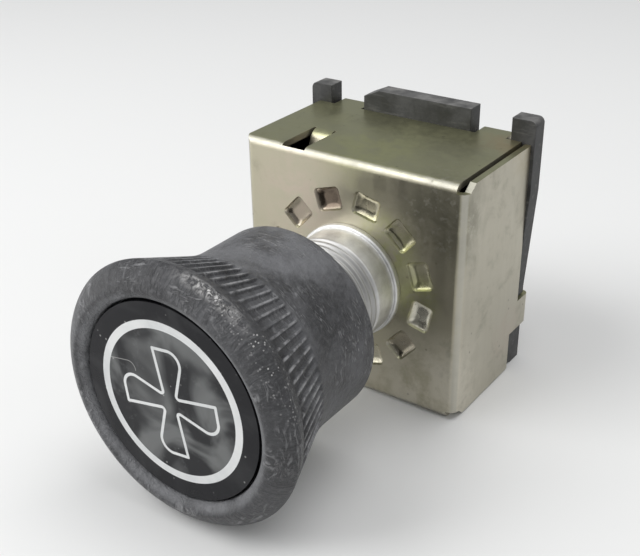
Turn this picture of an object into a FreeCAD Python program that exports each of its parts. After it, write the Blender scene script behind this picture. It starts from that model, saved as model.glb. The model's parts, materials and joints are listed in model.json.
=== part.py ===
import FreeCAD, Part

# Fan speed control switch: a four-position rotary switch with a soft mushroom knob.
# Millimetres, +Z up. The origin is on the shaft's axis, at the front of the bushing's collar,
# where a panel seats. The knob points along -Y and the housing lies along +Y.

import math
import os

from FreeCAD import Vector

# Fits
running_clearance = 0.05
axial_play = 0.08
seat_clearance = 0.1
cut_margin = 1.0

# Bushing, turned from aluminium
bushing_thread_r = 7.0
bushing_length = 9.1
bushing_chamfer = 0.6
collar_r = 7.4
collar_length = 0.9
spigot_r = 6.4
swage_r = 7.3
swage_length = 0.7

# Housing, folded from one steel sheet
housing_width = 31.0
housing_height = 31.2
housing_depth = 16.3
sheet = 0.8
bend_r = 1.05
corner_slit = 0.5
under_cap_gap = 0.25
side_edge_drop = 0.2
corner_relief = 2.2
finger_width = 4.2
finger_lap = 2.8
side_finger_z = -8.1

# Detent dimples pressed into the front of the housing
detent_count = 12
detent_turn = 2.0
detent_circle_r = 10.4
dimple_radial = 3.0
dimple_tangential = 3.7
dimple_depth = 0.7
dimple_dish = 0.9
dimple_steps = 3
dimple_corner_r = 0.55
bump_grow = 0.5
bump_taper = 0.55

# Stop tongue lanced out of the top of the housing
tongue_x = -8.35
tongue_width = 2.7
tongue_hinge_depth = 7.3
tongue_bend_r = 1.6
tongue_angle = 65.0
tongue_run = 3.8
tongue_cut = 0.3
window_length = 7.0

# Terminal board
board_thickness = 2.5
board_left_overhang = 1.3
board_right_overhang = 0.45
corner_tab_width = 3.2
left_tab_rise = 2.4
right_tab_rise = 2.85
tab_corner_r = 0.8
left_notch_width = 5.1
right_notch_width = 5.5
centre_tab_rise = 2.9
tab_slope_run = 2.3
tab_slope_drop = 1.05
right_taper = 0.85
right_taper_top_z = 9.0
right_taper_low_z = -5.0
notch_clearance = 0.15
key_depth = 1.6

# Rivets and blade terminals
contact_circle_r = 9.0
rivet_shank_r = 1.1
rivet_head_r = 1.7
rivet_head_height = 0.6
blade_width = 6.3
blade_thickness = 0.8
blade_length = 8.0
blade_bend_r = 1.2
blade_tip_chamfer = 1.0
blade_hole_r = 0.85
blade_hole_setback = 2.6
foot_tail = 1.8
foot_reach = 3.0
feed_foot_reach = 9.6
low_angle = 30.0
medium_angle = 0.0
high_angle = 210.0

# Shaft and what rides on it
shaft_r = 4.0
shaft_collar_r = 5.6
shaft_collar_length = 1.45
shaft_flat_z = 3.0
drive_half_width = 3.0
washer_thickness = 0.5
washer_r = 6.2
clip_thickness = 0.7
clip_r = 5.7
clip_groove_r = 3.3
clip_mouth = 4.6

# Rotor and moving contacts
rotor_clearance = 0.4
rotor_web = 2.5
rotor_hub_r = 6.2
rotor_hub_length = 6.0
rotor_rim = 2.6
rotor_recess_length = 5.2
recess_gap = 0.3
stop_gap = 0.2
knob_travel = 90.0
spring_sheet = 0.4
detent_ring_inner_r = 6.4
detent_ring_outer_r = 11.6
detent_strip_width = 1.8
detent_strip_half_length = 5.0
detent_nose_half_width = 0.45
detent_nose_engagement = 0.2
spider_thickness = 0.6
spider_hub_r = 4.6
spider_arms = 3
spider_arm_width = 4.0
spider_end_inset = 1.0
spider_off_angle = 180.0
pip_r = 1.0
pip_height = 0.55
bow_width = 5.0
bow_end_gap = 1.6

# Knob: soft grip, hard core, disc and its inlaid symbol
grip_gap = 12.3
grip_length = 21.4
neck_r = 11.65
flare_knee = 9.19
flare_arc_r = 15.57
rim_r = 15.35
rim_setback = 2.21
crown_r = 4.3
crown_inset = 2.45
rim_rounding = 0.6
neck_edge_r = 0.5
lip_inset = 3.55
lip_drop = 0.6
recess_depth = 2.2
recess_draft = 0.2
skirt_depth = 7.7
skirt_wall = 2.05
rib_count = 78
rib_depth = 0.35
rib_share = 0.34
rib_lead = 0.7
rib_run = 6.3
core_hub_r = 6.0
core_flange_inset = 2.4
core_flange = 1.5
shaft_in_core = 7.0
knob_clip_thickness = 0.35
knob_clip_width = 4.0
disc_gap = 0.2
disc_thickness = 1.4
inlay_depth = 0.15
ring_inset = 2.0
ring_stroke = 0.92
fan_stroke = 0.36
fan_hub = 0.77
fan_hub_r = 0.35
fan_tip_x = -1.8
fan_tip_z = 6.05
fan_round_x = 0.3
fan_round_z = 4.85
fan_round_r = 1.45

# Stations along the axis
front_y = collar_length
inner_y = front_y + sheet
board_y = front_y + housing_depth
board_back_y = board_y + board_thickness
bushing_end_y = -bushing_length
bushing_rear_y = inner_y + swage_length
washer_rear_y = bushing_rear_y + washer_thickness
shaft_collar_y = washer_rear_y + axial_play
shaft_shoulder_y = shaft_collar_y + shaft_collar_length
rotor_y = shaft_shoulder_y
rotor_web_y = rotor_y + spring_sheet + seat_clearance
rotor_back_y = rotor_web_y + rotor_web
rotor_hub_end_y = rotor_y + rotor_hub_length
spider_contact_y = board_y - rivet_head_height - running_clearance
bump_y = inner_y + dimple_depth
grip_rear_y = front_y - grip_gap
grip_front_y = grip_rear_y - grip_length
skirt_floor_y = grip_rear_y - skirt_depth
recess_floor_y = grip_front_y + recess_depth
core_flange_y = recess_floor_y + core_flange
disc_face_y = recess_floor_y - disc_thickness
shaft_end_y = skirt_floor_y - shaft_in_core
spider_back_y = spider_contact_y - pip_height
spider_y = spider_back_y - spider_thickness
rotor_rim_end_y = spider_back_y

# Places across the axis
recess_lip_r = rim_r - lip_inset
recess_wall_r = recess_lip_r - recess_draft
disc_r = recess_wall_r - disc_gap
core_flange_r = disc_r - core_flange_inset
ring_outer_r = disc_r - ring_inset
ring_inner_r = ring_outer_r - ring_stroke
skirt_r = neck_r - skirt_wall
cap_right = housing_width / 2 - sheet - corner_slit
rotor_r = min(housing_width, housing_height) / 2 - sheet - rotor_clearance
tongue_turn = math.radians(tongue_angle)
tongue_drop = tongue_bend_r - (tongue_bend_r - sheet) * math.cos(tongue_turn)
tongue_tip_z = housing_height / 2 - tongue_drop - tongue_run * math.sin(tongue_turn)
tongue_near_x = -tongue_x - tongue_width / 2
recess_floor_r = math.hypot(tongue_near_x, tongue_tip_z) - recess_gap
recess_start_angle = 180 - math.degrees(math.acos((tongue_near_x - stop_gap) / rotor_r))
recess_end_angle = knob_travel + 180 - math.degrees(math.asin((tongue_tip_z - stop_gap) / rotor_r))
spider_reach = rotor_r - spider_end_inset
bow_half_span = rotor_r - rotor_rim - bow_end_gap
board_left = housing_width / 2 + board_left_overhang
board_right = housing_width / 2 + board_right_overhang
key_inner_x = cap_right + notch_clearance
key_outer_x = board_right - right_taper
centre_tab_left = board_left - corner_tab_width - left_notch_width
centre_tab_right = board_right - corner_tab_width - right_notch_width
notch_centres = (
    (corner_tab_width - board_left - centre_tab_left) / 2,
    (board_right - corner_tab_width + centre_tab_right) / 2,
)
spider_angles = [spider_off_angle + 360 / spider_arms * index for index in range(spider_arms)]
contact_angles = {"low": low_angle, "medium": medium_angle, "high": high_angle}
contact_places = {"feed": (0.0, 0.0)}
for speed, angle in contact_angles.items():
    bearing = math.radians(angle)
    contact_places[speed] = (contact_circle_r * math.cos(bearing), contact_circle_r * math.sin(bearing))

axis_y = Vector(0, 1, 0)
origin = Vector(0, 0, 0)


def wire_of(start, *steps):
    """Closed wire: each step is an end point, or a pair of a point on an arc and its end."""
    edges = []
    here = start
    for step in steps:
        if isinstance(step, Vector):
            edges.append(Part.LineSegment(here, step).toShape())
            here = step
        else:
            through, end = step
            edges.append(Part.Arc(here, through, end).toShape())
            here = end
    if here != start:
        edges.append(Part.LineSegment(here, start).toShape())
    return Part.Wire(edges)


def corner_arc(before, corner, after, radius):
    """Start, middle and end of the arc that rounds a corner between two straight runs."""
    back = (before - corner).normalize()
    ahead = (after - corner).normalize()
    half = back.getAngle(ahead) / 2
    reach = radius / math.tan(half)
    inward = (back + ahead).normalize()
    return (
        corner + back * reach,
        corner + inward * (radius / math.sin(half) - radius),
        corner + ahead * reach,
    )


def turned(points):
    """Solid of revolution about the shaft's axis from radius and Y pairs."""
    wire = wire_of(*[Vector(radius, y, 0) for radius, y in points])
    return Part.Face(wire).revolve(origin, axis_y, 360)


def cylinder_y(radius, y_from, y_to, x=0.0, z=0.0):
    return Part.makeCylinder(radius, y_to - y_from, Vector(x, y_from, z), axis_y)


def block(x_from, x_to, y_from, y_to, z_from, z_to):
    return Part.makeBox(x_to - x_from, y_to - y_from, z_to - z_from, Vector(x_from, y_from, z_from))


def spun(shape, angle):
    """Copy turned about the shaft's axis, anticlockwise as seen from the knob."""
    copy = shape.copy()
    copy.rotate(origin, axis_y, -angle)
    return copy


def save(shape, node):
    shape.removeSplitter().exportStep("parts/" + node + ".step")


def channel_wire(half_width, across):
    """Section of the sheet bent to a U that opens to the back; across places a width and a Y."""
    outer_arc = bend_r * math.sqrt(0.5)
    inner_arc = (bend_r - sheet) * math.sqrt(0.5)
    bend_y = front_y + bend_r
    flat = half_width - bend_r
    wall = half_width - sheet
    return wire_of(
        across(-half_width, board_y),
        across(-half_width, bend_y),
        (across(-flat - outer_arc, bend_y - outer_arc), across(-flat, front_y)),
        across(flat, front_y),
        (across(flat + outer_arc, bend_y - outer_arc), across(half_width, bend_y)),
        across(half_width, board_y),
        across(wall, board_y),
        across(wall, bend_y),
        (across(flat + inner_arc, bend_y - inner_arc), across(flat, inner_y)),
        across(-flat, inner_y),
        (across(-flat - inner_arc, bend_y - inner_arc), across(-wall, bend_y)),
        across(-wall, board_y),
    )


def side_flanges():
    """Front plate with the side flanges: the left one ends under the caps, the right one beside them."""
    half_height = min(housing_height / 2 - bend_r, housing_height / 2 - sheet - under_cap_gap)

    def across(width, y):
        return Vector(width, y, -half_height)

    bent = Part.Face(channel_wire(housing_width / 2, across)).extrude(Vector(0, 0, 2 * half_height))
    edge_z = housing_height / 2 - side_edge_drop
    wall_x = housing_width / 2
    ear_y = front_y + corner_relief
    inner_x = wall_x - sheet
    bend_y = front_y + bend_r
    outline = wire_of(
        Vector(inner_x, bend_y, -half_height),
        Vector(inner_x, ear_y, -edge_z),
        Vector(inner_x, board_y, -edge_z),
        Vector(inner_x, board_y, edge_z),
        Vector(inner_x, ear_y, edge_z),
        Vector(inner_x, bend_y, half_height),
    )
    right = Part.Face(outline).extrude(Vector(sheet, 0, 0))
    return [bent, right]


def stop_tongue(left_x, hinge_y, top_z):
    """Tongue that curves down from its hinge and runs on straight into the rotor's recess."""
    ahead = Vector(0, -math.cos(tongue_turn), -math.sin(tongue_turn)) * tongue_run
    centre = Vector(left_x, hinge_y, top_z - tongue_bend_r)
    under_r = tongue_bend_r - sheet

    def around(radius, turn):
        return centre + Vector(0, -math.sin(turn), math.cos(turn)) * radius

    over_end = around(tongue_bend_r, tongue_turn)
    under_end = around(under_r, tongue_turn)
    section = wire_of(
        around(tongue_bend_r, 0),
        (around(tongue_bend_r, tongue_turn / 2), over_end),
        over_end + ahead,
        under_end + ahead,
        under_end,
        (around(under_r, tongue_turn / 2), around(under_r, 0)),
    )
    return Part.Face(section).extrude(Vector(tongue_width, 0, 0))


def cap_flanges():
    """Front plate with the top and bottom flanges, rounded off at the left front corners."""
    left_x = -housing_width / 2
    flat_x = left_x + bend_r
    bend_y = front_y + bend_r
    arc = bend_r * (1 - math.sqrt(0.5))
    low_z = -housing_height / 2

    def across(height, y):
        return Vector(left_x, y, height)

    caps = Part.Face(channel_wire(housing_height / 2, across)).extrude(Vector(cap_right - left_x, 0, 0))
    corner = wire_of(
        Vector(left_x, front_y, low_z),
        Vector(flat_x, front_y, low_z),
        (Vector(left_x + arc, front_y + arc, low_z), Vector(left_x, bend_y, low_z)),
    )
    return caps.cut(Part.Face(corner).extrude(Vector(0, 0, housing_height)))


def finger(half_size, across, along):
    """Strip that runs on from a flange, past the board's edge, and folds in behind the board."""
    wall = half_size - sheet
    fold_y = board_back_y + sheet
    arc = sheet * (1 - math.sqrt(0.5))
    wire = wire_of(
        across(half_size, board_y - sheet),
        across(wall, board_y - sheet),
        across(wall, board_back_y),
        across(half_size - finger_lap, board_back_y),
        across(half_size - finger_lap, fold_y),
        across(wall, fold_y),
        (across(half_size - arc, fold_y - arc), across(half_size, board_back_y)),
    )
    return Part.Face(wire).extrude(along)


def fingers():
    """Two fingers on the top and bottom flanges and one on each side flange."""
    made = []
    for sign in (1, -1):
        for finger_x in notch_centres:
            def from_cap(height, y, side=sign, start=finger_x - finger_width / 2):
                return Vector(start, y, side * height)

            made.append(finger(housing_height / 2, from_cap, Vector(finger_width, 0, 0)))

        def from_side(width, y, side=sign):
            return Vector(side * width, y, side_finger_z - finger_width / 2)

        made.append(finger(housing_width / 2, from_side, Vector(0, 0, finger_width)))
    return made


def rounded_rectangle(radial, tangential, corner_r, y):
    """Wire in a plane across the axis, centred on the detent circle at angle zero."""
    flat_x = radial / 2 - corner_r
    flat_z = tangential / 2 - corner_r
    arc = corner_r * math.sqrt(0.5)

    def at(x, z):
        return Vector(detent_circle_r + x, y, z)

    return wire_of(
        at(-flat_x, -flat_z - corner_r),
        at(flat_x, -flat_z - corner_r),
        (at(flat_x + arc, -flat_z - arc), at(flat_x + corner_r, -flat_z)),
        at(flat_x + corner_r, flat_z),
        (at(flat_x + arc, flat_z + arc), at(flat_x, flat_z + corner_r)),
        at(-flat_x, flat_z + corner_r),
        (at(-flat_x - arc, flat_z + arc), at(-flat_x - corner_r, flat_z)),
        at(-flat_x - corner_r, -flat_z),
        (at(-flat_x - arc, -flat_z - arc), at(-flat_x, -flat_z - corner_r)),
    )


def dimple_pocket():
    """Dished pocket of a dimple: its wall curves from steep at the mouth to level at the floor."""
    sections = []
    for step in range(dimple_steps + 1):
        bearing = math.radians(90.0 * step / dimple_steps)
        inset = dimple_dish * (1 - math.cos(bearing))
        y = front_y + dimple_depth * math.sin(bearing)
        radial = dimple_radial - 2 * inset
        sections.append(rounded_rectangle(radial, dimple_tangential - 2 * inset, dimple_corner_r, y))
    return Part.makeLoft(sections, True, True)


def dimple_bump():
    """Tapered bump that a dimple raises on the inside of the sheet."""
    corner_r = dimple_corner_r + bump_grow
    base = rounded_rectangle(
        dimple_radial + 2 * bump_grow, dimple_tangential + 2 * bump_grow, corner_r, inner_y - sheet / 2
    )
    tip_grow = bump_grow - bump_taper
    tip = rounded_rectangle(
        dimple_radial + 2 * tip_grow, dimple_tangential + 2 * tip_grow, corner_r, bump_y
    )
    return Part.makeLoft([base, tip], True, True)


def key_notches():
    """Notches in the side flanges' rear edges, below their fingers, for the board's keys."""
    notch_y = board_y - key_depth - notch_clearance
    top_z = side_finger_z - finger_width / 2
    low_z = -housing_height / 2
    wall_x = housing_width / 2
    under_z = low_z + sheet
    left = block(-wall_x, sheet - wall_x, notch_y, board_y, under_z, top_z)
    right = block(wall_x - sheet, wall_x, notch_y, board_y, low_z, top_z)
    return [left, right]


def make_housing():
    caps = cap_flanges()
    shell = caps.multiFuse(side_flanges() + fingers())
    shell = shell.cut(Part.makeCompound(key_notches()))
    bump = dimple_bump()
    pocket = dimple_pocket()
    angles = [detent_turn + 360.0 * (index + 0.5) / detent_count for index in range(detent_count)]
    shell = shell.multiFuse([spun(bump, angle) for angle in angles])
    shell = shell.cut(Part.makeCompound([spun(pocket, angle) for angle in angles]))
    shell = shell.cut(cylinder_y(spigot_r, 0, bushing_rear_y))
    hinge_y = front_y + tongue_hinge_depth
    top_z = housing_height / 2
    left_x = tongue_x - tongue_width / 2
    window = block(
        left_x - tongue_cut, left_x + tongue_width + tongue_cut, hinge_y - window_length, hinge_y,
        top_z - sheet, top_z,
    )
    return shell.cut(window).fuse(stop_tongue(left_x, hinge_y, top_z))


def make_bushing():
    bore_r = shaft_r + running_clearance
    body = turned([
        (bore_r, bushing_end_y),
        (bushing_thread_r - bushing_chamfer, bushing_end_y),
        (bushing_thread_r, bushing_end_y + bushing_chamfer),
        (bushing_thread_r, 0),
        (collar_r, 0),
        (collar_r, front_y),
        (spigot_r, front_y),
        (spigot_r, inner_y),
        (swage_r, inner_y),
        (swage_r, bushing_rear_y),
        (bore_r, bushing_rear_y),
    ])
    return body


def make_board():
    """Plate with three tabs along its top edge and notches for the housing's fingers."""
    base_z = -housing_height / 2
    notch_z = housing_height / 2 - sheet - notch_clearance
    left_tab_z = housing_height / 2 + left_tab_rise
    right_tab_z = housing_height / 2 + right_tab_rise
    centre_tab_z = housing_height / 2 + centre_tab_rise
    slope_x = tab_slope_run - centre_tab_left
    arc = tab_corner_r * (1 - math.sqrt(0.5))

    def at(x, z):
        return Vector(x, board_y, z)

    outline = wire_of(
        at(-board_left, base_z),
        at(-board_left, left_tab_z - tab_corner_r),
        (at(arc - board_left, left_tab_z - arc), at(tab_corner_r - board_left, left_tab_z)),
        at(corner_tab_width - board_left, left_tab_z),
        at(corner_tab_width - board_left, notch_z),
        at(-centre_tab_left, notch_z),
        at(-centre_tab_left, centre_tab_z - tab_slope_drop),
        at(slope_x, centre_tab_z),
        at(centre_tab_right, centre_tab_z),
        at(centre_tab_right, notch_z),
        at(board_right - corner_tab_width, notch_z),
        at(board_right - corner_tab_width, right_tab_z),
        at(board_right - tab_corner_r, right_tab_z),
        (at(board_right - arc, right_tab_z - arc), at(board_right, right_tab_z - tab_corner_r)),
        at(board_right, right_taper_top_z),
        at(board_right - right_taper, right_taper_low_z),
        at(board_right - right_taper, base_z),
    )
    plate = Part.Face(outline).extrude(Vector(0, board_thickness, 0))
    half_notch = finger_width / 2 + notch_clearance
    side_x = housing_width / 2 - sheet - notch_clearance
    key_y = board_y - key_depth
    key_top_z = side_finger_z - half_notch
    left_key = block(-key_outer_x, -key_inner_x, key_y, board_y, -notch_z, key_top_z)
    right_key = block(key_inner_x, key_outer_x, key_y, board_y, side_edge_drop + base_z, key_top_z)
    plate = plate.multiFuse([left_key, right_key])
    cuts = [
        block(x - half_notch, x + half_notch, board_y, board_back_y, base_z, -notch_z)
        for x in notch_centres
    ]
    low_z = side_finger_z - half_notch
    high_z = side_finger_z + half_notch
    cuts.append(block(-board_left, -side_x, board_y, board_back_y, low_z, high_z))
    cuts.append(block(side_x, board_right, board_y, board_back_y, low_z, high_z))
    for x, z in contact_places.values():
        cuts.append(cylinder_y(rivet_shank_r, board_y, board_back_y, x, z))
    return plate.cut(Part.makeCompound(cuts))


def make_rivet(x, z):
    """Contact button in front of the board, shank through it, closed head behind the terminal."""
    foot_y = board_back_y + blade_thickness
    button = cylinder_y(rivet_head_r, board_y - rivet_head_height, board_y, x, z)
    shank = cylinder_y(rivet_shank_r, board_y, foot_y, x, z)
    tail = cylinder_y(rivet_head_r, foot_y, foot_y + rivet_head_height, x, z)
    return button.multiFuse([shank, tail])


def make_terminal(place, reach, direction):
    """Blade that stands on the board's back, with a riveted foot; direction is up 1 or down -1."""
    x, z = place
    foot_y = board_back_y + blade_thickness
    tip_y = board_back_y + blade_length
    inner_r = blade_bend_r - blade_thickness
    outer_arc = blade_bend_r * (1 - math.sqrt(0.5))
    inner_arc = inner_r * (1 - math.sqrt(0.5))
    half_width = blade_width / 2
    wall = reach - blade_thickness

    def at(height, y):
        return Vector(x - half_width, y, z + direction * height)

    section = wire_of(
        at(-foot_tail, board_back_y),
        at(reach - blade_bend_r, board_back_y),
        (at(reach - outer_arc, board_back_y + outer_arc), at(reach, board_back_y + blade_bend_r)),
        at(reach, tip_y),
        at(wall, tip_y),
        at(wall, foot_y + inner_r),
        (at(wall - inner_arc, foot_y + inner_arc), at(wall - inner_r, foot_y)),
        at(-foot_tail, foot_y),
    )
    body = Part.Face(section).extrude(Vector(blade_width, 0, 0))
    blade_low = min(z + direction * wall, z + direction * reach)
    for side in (-1, 1):
        corner_x = x + side * half_width
        corner = wire_of(
            Vector(corner_x, tip_y, blade_low),
            Vector(corner_x - side * blade_tip_chamfer, tip_y, blade_low),
            Vector(corner_x, tip_y - blade_tip_chamfer, blade_low),
        )
        body = body.cut(Part.Face(corner).extrude(Vector(0, 0, blade_thickness)))
    hole_at = Vector(x, tip_y - blade_hole_setback, blade_low)
    body = body.cut(Part.makeCylinder(blade_hole_r, blade_thickness, hole_at, Vector(0, 0, 1)))
    return body.cut(cylinder_y(rivet_shank_r, board_back_y, foot_y, x, z))


def make_shaft():
    """Stepped shaft with a clip groove, a flat for the knob and two flats for the rotor."""
    groove_y = bushing_end_y - axial_play
    rod = cylinder_y(shaft_r, shaft_end_y, rotor_hub_end_y)
    rod = rod.fuse(cylinder_y(shaft_collar_r, shaft_collar_y, shaft_shoulder_y))
    groove = cylinder_y(shaft_r, groove_y - clip_thickness, groove_y)
    rod = rod.cut(groove.cut(cylinder_y(clip_groove_r, groove_y - clip_thickness, groove_y)))
    rod = rod.cut(block(-shaft_r, shaft_r, shaft_end_y, skirt_floor_y, shaft_flat_z, shaft_r))
    for side in (-1, 1):
        near_x = min(side * drive_half_width, side * shaft_r)
        far_x = max(side * drive_half_width, side * shaft_r)
        rod = rod.cut(block(near_x, far_x, shaft_shoulder_y, rotor_hub_end_y, -shaft_r, shaft_r))
    return rod


def make_thrust_washer():
    ring = cylinder_y(washer_r, bushing_rear_y, washer_rear_y)
    return ring.cut(cylinder_y(shaft_r + running_clearance, bushing_rear_y, washer_rear_y))


def make_retaining_clip():
    """E clip: a flat ring with an open mouth, sprung into the shaft's groove."""
    back_y = bushing_end_y - axial_play
    clip_y = back_y - clip_thickness
    ring = cylinder_y(clip_r, clip_y, back_y).cut(cylinder_y(clip_groove_r, clip_y, back_y))
    mouth = block(-clip_mouth / 2, clip_mouth / 2, clip_y, back_y, -clip_r, 0)
    return ring.cut(mouth)


def make_rotor():
    """Web with a hub and a long rim: a recess takes the stop tongue, slots drive the spider."""
    rim_inner_r = rotor_r - rotor_rim
    body = turned([
        (0, rotor_y),
        (rotor_hub_r, rotor_y),
        (rotor_hub_r, rotor_web_y),
        (rotor_r, rotor_web_y),
        (rotor_r, rotor_rim_end_y),
        (rim_inner_r, rotor_rim_end_y),
        (rim_inner_r, rotor_back_y),
        (rotor_hub_r, rotor_back_y),
        (rotor_hub_r, rotor_hub_end_y),
        (0, rotor_hub_end_y),
    ])
    recess_wire = wire_of(
        Vector(recess_floor_r, rotor_web_y, 0),
        Vector(rotor_r + cut_margin, rotor_web_y, 0),
        Vector(rotor_r + cut_margin, rotor_web_y + rotor_recess_length, 0),
        Vector(recess_floor_r, rotor_web_y + rotor_recess_length, 0),
    )
    sweep = recess_end_angle - recess_start_angle
    recess = Part.Face(recess_wire).revolve(origin, Vector(0, -1, 0), sweep)
    body = body.cut(spun(recess, recess_start_angle))
    slot_half = spider_arm_width / 2 + seat_clearance
    slot_y = spider_y - seat_clearance
    slot_r = rim_inner_r - cut_margin
    slot = block(slot_r, rotor_r + cut_margin, slot_y, rotor_rim_end_y, -slot_half, slot_half)
    for angle in spider_angles:
        body = body.cut(spun(slot, angle))
    drive_x = drive_half_width + running_clearance
    bore = cylinder_y(shaft_r + running_clearance, rotor_y, rotor_hub_end_y)
    drive = bore.common(block(-drive_x, drive_x, rotor_y, rotor_hub_end_y, -rotor_r, rotor_r))
    return body.cut(drive)


def make_detent_spring():
    """Flat spring ring with two raised strips whose noses sit between the dimples."""
    back_y = rotor_web_y
    face_y = back_y - spring_sheet
    ring = cylinder_y(detent_ring_outer_r, face_y, back_y)
    ring = ring.cut(cylinder_y(detent_ring_inner_r, face_y, back_y))
    strip_x = detent_ring_outer_r - detent_strip_width
    nose_y = bump_y - detent_nose_engagement
    nose_side_y = nose_y + detent_nose_half_width / 2
    foot_z = detent_strip_half_length
    foot_end = foot_z - spring_sheet

    def at(z, y):
        return Vector(strip_x, y, z)

    section = wire_of(
        at(-foot_z, face_y),
        at(-detent_nose_half_width, nose_side_y),
        (at(0, nose_y), at(detent_nose_half_width, nose_side_y)),
        at(foot_z, face_y),
        at(foot_z, back_y),
        at(foot_end, back_y),
        at(0, nose_y + 2 * spring_sheet),
        at(-foot_end, back_y),
        at(-foot_z, back_y),
    )
    strip = Part.Face(section).extrude(Vector(detent_strip_width, 0, 0))
    window = block(strip_x, detent_ring_outer_r, face_y, back_y, -foot_end, foot_end)
    for angle in (detent_turn, detent_turn + 180):
        ring = ring.cut(spun(window, angle))
        limit = cylinder_y(detent_ring_outer_r, nose_y, back_y)
        ring = ring.fuse(spun(strip, angle).common(limit))
    return ring


def make_contact_spider():
    """Plate with three arms: a pip on each arm meets the rivets, a pip in the middle the feed."""
    plate = cylinder_y(spider_hub_r, spider_y, spider_back_y)
    half_arm = spider_arm_width / 2
    arm = block(0, spider_reach, spider_y, spider_back_y, -half_arm, half_arm)
    pip = cylinder_y(pip_r, spider_back_y, spider_contact_y, contact_circle_r)
    pieces = [cylinder_y(pip_r, spider_back_y, spider_contact_y)]
    for angle in spider_angles:
        pieces.append(spun(arm, angle))
        pieces.append(spun(pip, angle))
    return plate.multiFuse(pieces)


def make_contact_spring():
    """Bowed leaf spring: its feet stand on the rotor's web, its crown presses the spider."""
    outer_rise = spider_y - rotor_back_y
    inner_rise = outer_rise - spring_sheet

    def at(x, rise):
        return Vector(x, rotor_back_y + rise, -bow_width / 2)

    inner_span = bow_half_span - spring_sheet
    wire = Part.Wire([
        Part.Arc(at(-bow_half_span, 0), at(0, outer_rise), at(bow_half_span, 0)).toShape(),
        Part.LineSegment(at(bow_half_span, 0), at(inner_span, 0)).toShape(),
        Part.Arc(at(inner_span, 0), at(0, inner_rise), at(-inner_span, 0)).toShape(),
        Part.LineSegment(at(-inner_span, 0), at(-bow_half_span, 0)).toShape(),
    ])
    return Part.Face(wire).extrude(Vector(0, 0, bow_width))


def make_knob_core():
    """Hub with a bore for the shaft and its flat spring, and a flange that carries the disc."""
    body = turned([
        (0, recess_floor_y),
        (core_flange_r, recess_floor_y),
        (core_flange_r, core_flange_y),
        (core_hub_r, core_flange_y),
        (core_hub_r, skirt_floor_y),
        (0, skirt_floor_y),
    ])
    bore_r = shaft_r + running_clearance
    flat_z = shaft_flat_z + knob_clip_thickness + running_clearance
    bore = cylinder_y(bore_r, shaft_end_y - seat_clearance, skirt_floor_y)
    above = block(-bore_r, bore_r, shaft_end_y - seat_clearance, skirt_floor_y, flat_z, bore_r)
    return body.cut(bore.cut(above))


def make_knob_clip():
    half = knob_clip_width / 2
    top_z = shaft_flat_z + knob_clip_thickness
    return block(-half, half, shaft_end_y, skirt_floor_y, shaft_flat_z, top_z)


def make_knob_grip():
    """Soft mushroom: hollow skirt, straight neck, ribbed flare, rounded rim and a recess."""
    knee_y = grip_rear_y - flare_knee
    rim_y = grip_front_y + rim_setback
    slope = (rim_r - neck_r) / (knee_y - rim_y)
    flare = math.atan(slope)
    tangent = flare_arc_r * math.tan(flare / 2)
    neck_end_y = knee_y + tangent
    cone_y = knee_y - tangent * math.cos(flare)
    cone_r = neck_r + tangent * math.sin(flare)
    mid_flare = (
        neck_r + flare_arc_r * (1 - math.cos(flare / 2)),
        neck_end_y - flare_arc_r * math.sin(flare / 2),
    )
    peak_r = rim_r - crown_inset
    chord = math.hypot(peak_r - rim_r, grip_front_y - rim_y)
    bulge = crown_r - math.sqrt(crown_r ** 2 - (chord / 2) ** 2)
    mid_crown = (
        (rim_r + peak_r) / 2 + bulge * (rim_y - grip_front_y) / chord,
        (rim_y + grip_front_y) / 2 - bulge * (rim_r - peak_r) / chord,
    )

    def at(radius, y):
        return Vector(radius, y, 0)

    section = wire_of(
        at(skirt_r, grip_rear_y),
        at(neck_r, grip_rear_y),
        at(neck_r, neck_end_y),
        (at(*mid_flare), at(cone_r, cone_y)),
        at(rim_r, rim_y),
        (at(*mid_crown), at(peak_r, grip_front_y)),
        at(recess_lip_r, grip_front_y + lip_drop),
        at(recess_wall_r, recess_floor_y),
        at(core_flange_r, recess_floor_y),
        at(core_flange_r, core_flange_y),
        at(core_hub_r, core_flange_y),
        at(core_hub_r, skirt_floor_y),
        at(skirt_r, skirt_floor_y),
    )
    body = Part.Face(section).revolve(origin, axis_y, 360)
    rounded = [edge for edge in body.Edges if is_ring(edge, rim_r, rim_y)]
    rounded += [edge for edge in body.Edges if is_ring(edge, peak_r, grip_front_y)]
    body = body.makeFillet(rim_rounding, rounded)
    body = body.makeFillet(neck_edge_r, [edge for edge in body.Edges if is_ring(edge, neck_r, grip_rear_y)])
    start_r = cone_r - rib_lead * slope
    end_r = cone_r + rib_run * slope
    groove = Part.Face(wire_of(
        at(start_r - rib_depth, cone_y + rib_lead),
        at(start_r + cut_margin, cone_y + rib_lead),
        at(end_r + cut_margin, cone_y - rib_run),
        at(end_r - rib_depth, cone_y - rib_run),
    ))
    pitch = 360.0 / rib_count
    groove = groove.revolve(origin, axis_y, pitch * (1 - rib_share))
    return body.cut(Part.makeCompound([spun(groove, index * pitch) for index in range(rib_count)]))


def is_ring(edge, radius, y):
    """True for a full circle about the shaft's axis at this radius and Y."""
    if not isinstance(edge.Curve, Part.Circle):
        return False
    return abs(edge.Curve.Radius - radius) < 1e-4 and abs(edge.Curve.Center.y - y) < 1e-4


def make_symbol_ring():
    ring = cylinder_y(ring_outer_r, disc_face_y, disc_face_y + inlay_depth)
    return ring.cut(cylinder_y(ring_inner_r, disc_face_y, disc_face_y + inlay_depth))


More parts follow.
